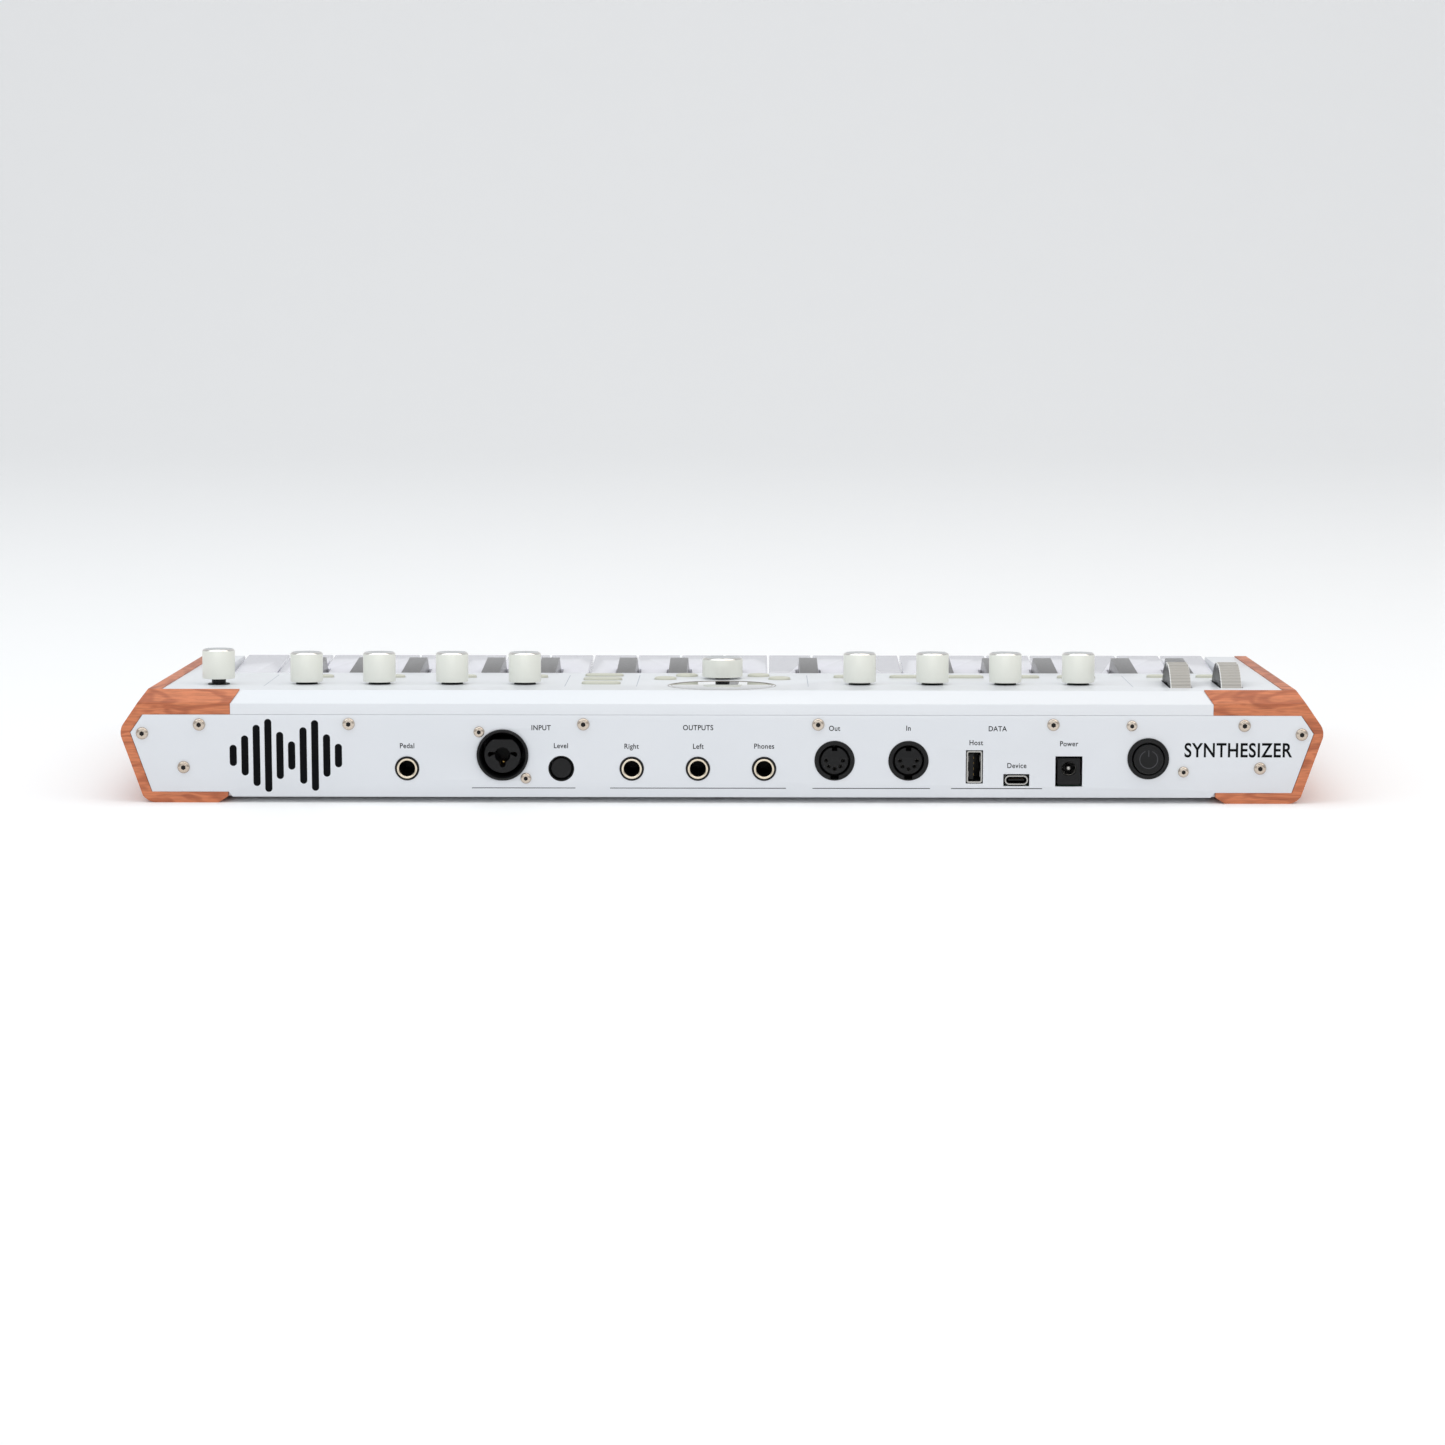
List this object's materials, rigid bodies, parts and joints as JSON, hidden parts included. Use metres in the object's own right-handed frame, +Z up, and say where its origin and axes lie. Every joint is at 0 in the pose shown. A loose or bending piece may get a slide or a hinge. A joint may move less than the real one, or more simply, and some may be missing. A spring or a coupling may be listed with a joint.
{
  "type": "synthesizer",
  "caption": "Compact stage synthesizer with slim keys, wooden end caps, panel knobs, pitch and modulation wheels and a row of rear sockets.",
  "frame": {"origin": "middle of the footprint, on the surface the instrument stands on", "axes": "+Z up, +X the player's right along the keys, +Y from the player towards the rear sockets"},
  "size_m": [0.5044, 0.1926, 0.0606],
  "materials": {
    "body_paint": "satin",
    "plate_paint": "satin powder coat",
    "wood": "oiled",
    "frame_plastic": "matte",
    "steel": "ground",
    "display_glass": "high gloss",
    "board": "satin",
    "socket_black": "fine matte",
    "ferrule_chrome": "polished",
    "connector_metal": "satin",
    "screw_steel": "satin",
    "foot_rubber": "matte",
    "knob_pearl": "pearl satin",
    "shaft_black": "matte",
    "wheel_rubber": "soft matte",
    "button_cream": "satin translucent",
    "key_white": "gloss",
    "key_black": "fine matte"
  },
  "bodies": {
    "case": {"lower_case": "body_paint", "top_cover": "body_paint", "rear_plate": "plate_paint", "end_cap_left": "wood", "end_cap_right": "wood", "key_frame": "frame_plastic", "pivot_rod": "steel", "display_lens": "display_glass", "circuit_boards": "board", "combo_socket": "socket_black", "jack_sockets": "socket_black", "jack_ferrules": "ferrule_chrome", "data_and_power_sockets": "connector_metal", "power_switch_housing": "socket_black", "screws": "screw_steel", "rubber_feet": "foot_rubber"},
    "white_key_01": {"white_key_01": "key_white"},
    "white_key_02": {"white_key_02": "key_white"},
    "white_key_03": {"white_key_03": "key_white"},
    "white_key_04": {"white_key_04": "key_white"},
    "white_key_05": {"white_key_05": "key_white"},
    "white_key_06": {"white_key_06": "key_white"},
    "white_key_07": {"white_key_07": "key_white"},
    "white_key_08": {"white_key_08": "key_white"},
    "white_key_09": {"white_key_09": "key_white"},
    "white_key_10": {"white_key_10": "key_white"},
    "white_key_11": {"white_key_11": "key_white"},
    "white_key_12": {"white_key_12": "key_white"},
    "white_key_13": {"white_key_13": "key_white"},
    "white_key_14": {"white_key_14": "key_white"},
    "white_key_15": {"white_key_15": "key_white"},
    "white_key_16": {"white_key_16": "key_white"},
    "white_key_17": {"white_key_17": "key_white"},
    "white_key_18": {"white_key_18": "key_white"},
    "white_key_19": {"white_key_19": "key_white"},
    "white_key_20": {"white_key_20": "key_white"},
    "white_key_21": {"white_key_21": "key_white"},
    "white_key_22": {"white_key_22": "key_white"},
    "black_keys_octave_1": {"black_keys_octave_1": "key_black"},
    "black_keys_octave_2": {"black_keys_octave_2": "key_black"},
    "black_keys_octave_3": {"black_keys_octave_3": "key_black"},
    "macro_knob_1": {"macro_knob_1": "knob_pearl"},
    "macro_knob_2": {"macro_knob_2": "knob_pearl"},
    "macro_knob_3": {"macro_knob_3": "knob_pearl"},
    "macro_knob_4": {"macro_knob_4": "knob_pearl"},
    "macro_knob_5": {"macro_knob_5": "knob_pearl"},
    "macro_knob_6": {"macro_knob_6": "knob_pearl"},
    "macro_knob_7": {"macro_knob_7": "knob_pearl"},
    "macro_knob_8": {"macro_knob_8": "knob_pearl"},
    "volume_knob": {"volume_knob": "knob_pearl"},
    "encoder_shaft": {"encoder_shaft": "shaft_black"},
    "encoder_knob": {"encoder_knob": "knob_pearl"},
    "gain_knob": {"gain_knob": "shaft_black"},
    "pitch_wheel": {"pitch_wheel": "wheel_rubber"},
    "modulation_wheel": {"modulation_wheel": "wheel_rubber"},
    "left_buttons": {"left_buttons": "button_cream"},
    "right_buttons": {"right_buttons": "button_cream"},
    "octave_buttons": {"octave_buttons": "button_cream"},
    "round_buttons": {"round_buttons": "button_cream"},
    "power_button": {"power_button": "socket_black"}
  },
  "joints": [
    {"name": "white_key_01_press", "type": "hinge", "parent": "case", "child": "white_key_01", "pos_m": [0, 0.0157, 0.03], "axis": [1, 0, 0], "range_deg": [0, 4], "stiffness_Nm_per_rad": 0.25, "springref_deg": -11.46},
    {"name": "white_key_02_press", "type": "hinge", "parent": "case", "child": "white_key_02", "pos_m": [0, 0.0157, 0.03], "axis": [1, 0, 0], "range_deg": [0, 4], "stiffness_Nm_per_rad": 0.25, "springref_deg": -11.46},
    {"name": "white_key_03_press", "type": "hinge", "parent": "case", "child": "white_key_03", "pos_m": [0, 0.0157, 0.03], "axis": [1, 0, 0], "range_deg": [0, 4], "stiffness_Nm_per_rad": 0.25, "springref_deg": -11.46},
    {"name": "white_key_04_press", "type": "hinge", "parent": "case", "child": "white_key_04", "pos_m": [0, 0.0157, 0.03], "axis": [1, 0, 0], "range_deg": [0, 4], "stiffness_Nm_per_rad": 0.25, "springref_deg": -11.46},
    {"name": "white_key_05_press", "type": "hinge", "parent": "case", "child": "white_key_05", "pos_m": [0, 0.0157, 0.03], "axis": [1, 0, 0], "range_deg": [0, 4], "stiffness_Nm_per_rad": 0.25, "springref_deg": -11.46},
    {"name": "white_key_06_press", "type": "hinge", "parent": "case", "child": "white_key_06", "pos_m": [0, 0.0157, 0.03], "axis": [1, 0, 0], "range_deg": [0, 4], "stiffness_Nm_per_rad": 0.25, "springref_deg": -11.46},
    {"name": "white_key_07_press", "type": "hinge", "parent": "case", "child": "white_key_07", "pos_m": [0, 0.0157, 0.03], "axis": [1, 0, 0], "range_deg": [0, 4], "stiffness_Nm_per_rad": 0.25, "springref_deg": -11.46},
    {"name": "white_key_08_press", "type": "hinge", "parent": "case", "child": "white_key_08", "pos_m": [0, 0.0157, 0.03], "axis": [1, 0, 0], "range_deg": [0, 4], "stiffness_Nm_per_rad": 0.25, "springref_deg": -11.46},
    {"name": "white_key_09_press", "type": "hinge", "parent": "case", "child": "white_key_09", "pos_m": [0, 0.0157, 0.03], "axis": [1, 0, 0], "range_deg": [0, 4], "stiffness_Nm_per_rad": 0.25, "springref_deg": -11.46},
    {"name": "white_key_10_press", "type": "hinge", "parent": "case", "child": "white_key_10", "pos_m": [0, 0.0157, 0.03], "axis": [1, 0, 0], "range_deg": [0, 4], "stiffness_Nm_per_rad": 0.25, "springref_deg": -11.46},
    {"name": "white_key_11_press", "type": "hinge", "parent": "case", "child": "white_key_11", "pos_m": [0, 0.0157, 0.03], "axis": [1, 0, 0], "range_deg": [0, 4], "stiffness_Nm_per_rad": 0.25, "springref_deg": -11.46},
    {"name": "white_key_12_press", "type": "hinge", "parent": "case", "child": "white_key_12", "pos_m": [0, 0.0157, 0.03], "axis": [1, 0, 0], "range_deg": [0, 4], "stiffness_Nm_per_rad": 0.25, "springref_deg": -11.46},
    {"name": "white_key_13_press", "type": "hinge", "parent": "case", "child": "white_key_13", "pos_m": [0, 0.0157, 0.03], "axis": [1, 0, 0], "range_deg": [0, 4], "stiffness_Nm_per_rad": 0.25, "springref_deg": -11.46},
    {"name": "white_key_14_press", "type": "hinge", "parent": "case", "child": "white_key_14", "pos_m": [0, 0.0157, 0.03], "axis": [1, 0, 0], "range_deg": [0, 4], "stiffness_Nm_per_rad": 0.25, "springref_deg": -11.46},
    {"name": "white_key_15_press", "type": "hinge", "parent": "case", "child": "white_key_15", "pos_m": [0, 0.0157, 0.03], "axis": [1, 0, 0], "range_deg": [0, 4], "stiffness_Nm_per_rad": 0.25, "springref_deg": -11.46},
    {"name": "white_key_16_press", "type": "hinge", "parent": "case", "child": "white_key_16", "pos_m": [0, 0.0157, 0.03], "axis": [1, 0, 0], "range_deg": [0, 4], "stiffness_Nm_per_rad": 0.25, "springref_deg": -11.46},
    {"name": "white_key_17_press", "type": "hinge", "parent": "case", "child": "white_key_17", "pos_m": [0, 0.0157, 0.03], "axis": [1, 0, 0], "range_deg": [0, 4], "stiffness_Nm_per_rad": 0.25, "springref_deg": -11.46},
    {"name": "white_key_18_press", "type": "hinge", "parent": "case", "child": "white_key_18", "pos_m": [0, 0.0157, 0.03], "axis": [1, 0, 0], "range_deg": [0, 4], "stiffness_Nm_per_rad": 0.25, "springref_deg": -11.46},
    {"name": "white_key_19_press", "type": "hinge", "parent": "case", "child": "white_key_19", "pos_m": [0, 0.0157, 0.03], "axis": [1, 0, 0], "range_deg": [0, 4], "stiffness_Nm_per_rad": 0.25, "springref_deg": -11.46},
    {"name": "white_key_20_press", "type": "hinge", "parent": "case", "child": "white_key_20", "pos_m": [0, 0.0157, 0.03], "axis": [1, 0, 0], "range_deg": [0, 4], "stiffness_Nm_per_rad": 0.25, "springref_deg": -11.46},
    {"name": "white_key_21_press", "type": "hinge", "parent": "case", "child": "white_key_21", "pos_m": [0, 0.0157, 0.03], "axis": [1, 0, 0], "range_deg": [0, 4], "stiffness_Nm_per_rad": 0.25, "springref_deg": -11.46},
    {"name": "white_key_22_press", "type": "hinge", "parent": "case", "child": "white_key_22", "pos_m": [0, 0.0157, 0.03], "axis": [1, 0, 0], "range_deg": [0, 4], "stiffness_Nm_per_rad": 0.25, "springref_deg": -11.46},
    {"name": "black_keys_octave_1_press", "type": "hinge", "parent": "case", "child": "black_keys_octave_1", "pos_m": [0, 0.0157, 0.03], "axis": [1, 0, 0], "range_deg": [0, 4], "stiffness_Nm_per_rad": 0.5, "springref_deg": -11.46},
    {"name": "black_keys_octave_2_press", "type": "hinge", "parent": "case", "child": "black_keys_octave_2", "pos_m": [0, 0.0157, 0.03], "axis": [1, 0, 0], "range_deg": [0, 4], "stiffness_Nm_per_rad": 0.5, "springref_deg": -11.46},
    {"name": "black_keys_octave_3_press", "type": "hinge", "parent": "case", "child": "black_keys_octave_3", "pos_m": [0, 0.0157, 0.03], "axis": [1, 0, 0], "range_deg": [0, 4], "stiffness_Nm_per_rad": 0.5, "springref_deg": -11.46},
    {"name": "macro_knob_1_turn", "type": "hinge", "parent": "case", "child": "macro_knob_1", "pos_m": [0.17699, 0.0577, 0.04496], "axis": [0, -0.0645, 0.9979], "continuous": true},
    {"name": "macro_knob_2_turn", "type": "hinge", "parent": "case", "child": "macro_knob_2", "pos_m": [0.14599, 0.0577, 0.04496], "axis": [0, -0.0645, 0.9979], "continuous": true},
    {"name": "macro_knob_3_turn", "type": "hinge", "parent": "case", "child": "macro_knob_3", "pos_m": [0.11499, 0.0577, 0.04496], "axis": [0, -0.0645, 0.9979], "continuous": true},
    {"name": "macro_knob_4_turn", "type": "hinge", "parent": "case", "child": "macro_knob_4", "pos_m": [0.08399, 0.0577, 0.04496], "axis": [0, -0.0645, 0.9979], "continuous": true},
    {"name": "macro_knob_5_turn", "type": "hinge", "parent": "case", "child": "macro_knob_5", "pos_m": [-0.0586, 0.0577, 0.04496], "axis": [0, -0.0645, 0.9979], "continuous": true},
    {"name": "macro_knob_6_turn", "type": "hinge", "parent": "case", "child": "macro_knob_6", "pos_m": [-0.0896, 0.0577, 0.04496], "axis": [0, -0.0645, 0.9979], "continuous": true},
    {"name": "macro_knob_7_turn", "type": "hinge", "parent": "case", "child": "macro_knob_7", "pos_m": [-0.1206, 0.0577, 0.04496], "axis": [0, -0.0645, 0.9979], "continuous": true},
    {"name": "macro_knob_8_turn", "type": "hinge", "parent": "case", "child": "macro_knob_8", "pos_m": [-0.1516, 0.0577, 0.04496], "axis": [0, -0.0645, 0.9979], "continuous": true},
    {"name": "volume_knob_turn", "type": "hinge", "parent": "case", "child": "volume_knob", "pos_m": [0.21419, 0.0601, 0.04512], "axis": [0, -0.0645, 0.9979], "range_deg": [-150, 150]},
    {"name": "encoder_push", "type": "slide", "parent": "case", "child": "encoder_shaft", "axis": [0, 0.0645, -0.9979], "range_m": [0, 0.0005], "stiffness_N_per_m": 600, "springref_m": -0.003},
    {"name": "encoder_turn", "type": "hinge", "parent": "encoder_shaft", "child": "encoder_knob", "pos_m": [0, 0.0292, 0.04312], "axis": [0, -0.0645, 0.9979], "continuous": true},
    {"name": "gain_knob_turn", "type": "hinge", "parent": "case", "child": "gain_knob", "pos_m": [0.067, 0.0937, 0.0146], "axis": [0, 1, 0], "range_deg": [-140, 140]},
    {"name": "pitch_wheel_turn", "type": "hinge", "parent": "case", "child": "pitch_wheel", "pos_m": [-0.21509, 0.0557, 0.03113], "axis": [1, 0, 0], "range_deg": [-35, 35], "stiffness_Nm_per_rad": 0.1},
    {"name": "modulation_wheel_turn", "type": "hinge", "parent": "case", "child": "modulation_wheel", "pos_m": [-0.19379, 0.0557, 0.03113], "axis": [1, 0, 0], "range_deg": [-35, 35]},
    {"name": "left_buttons_press", "type": "slide", "parent": "case", "child": "left_buttons", "axis": [0, 0.0645, -0.9979], "range_m": [0, 0.001], "stiffness_N_per_m": 1400, "springref_m": -0.002},
    {"name": "right_buttons_press", "type": "slide", "parent": "case", "child": "right_buttons", "axis": [0, 0.0645, -0.9979], "range_m": [0, 0.001], "stiffness_N_per_m": 1000, "springref_m": -0.002},
    {"name": "octave_buttons_press", "type": "slide", "parent": "case", "child": "octave_buttons", "axis": [0, 0.0645, -0.9979], "range_m": [0, 0.001], "stiffness_N_per_m": 400, "springref_m": -0.002},
    {"name": "round_buttons_press", "type": "slide", "parent": "case", "child": "round_buttons", "axis": [0, 0.0645, -0.9979], "range_m": [0, 0.001], "stiffness_N_per_m": 800, "springref_m": -0.002},
    {"name": "power_button_push", "type": "slide", "parent": "case", "child": "power_button", "axis": [0, -1, 0], "range_m": [0, 0.002], "stiffness_N_per_m": 400, "springref_m": -0.002}
  ]
}
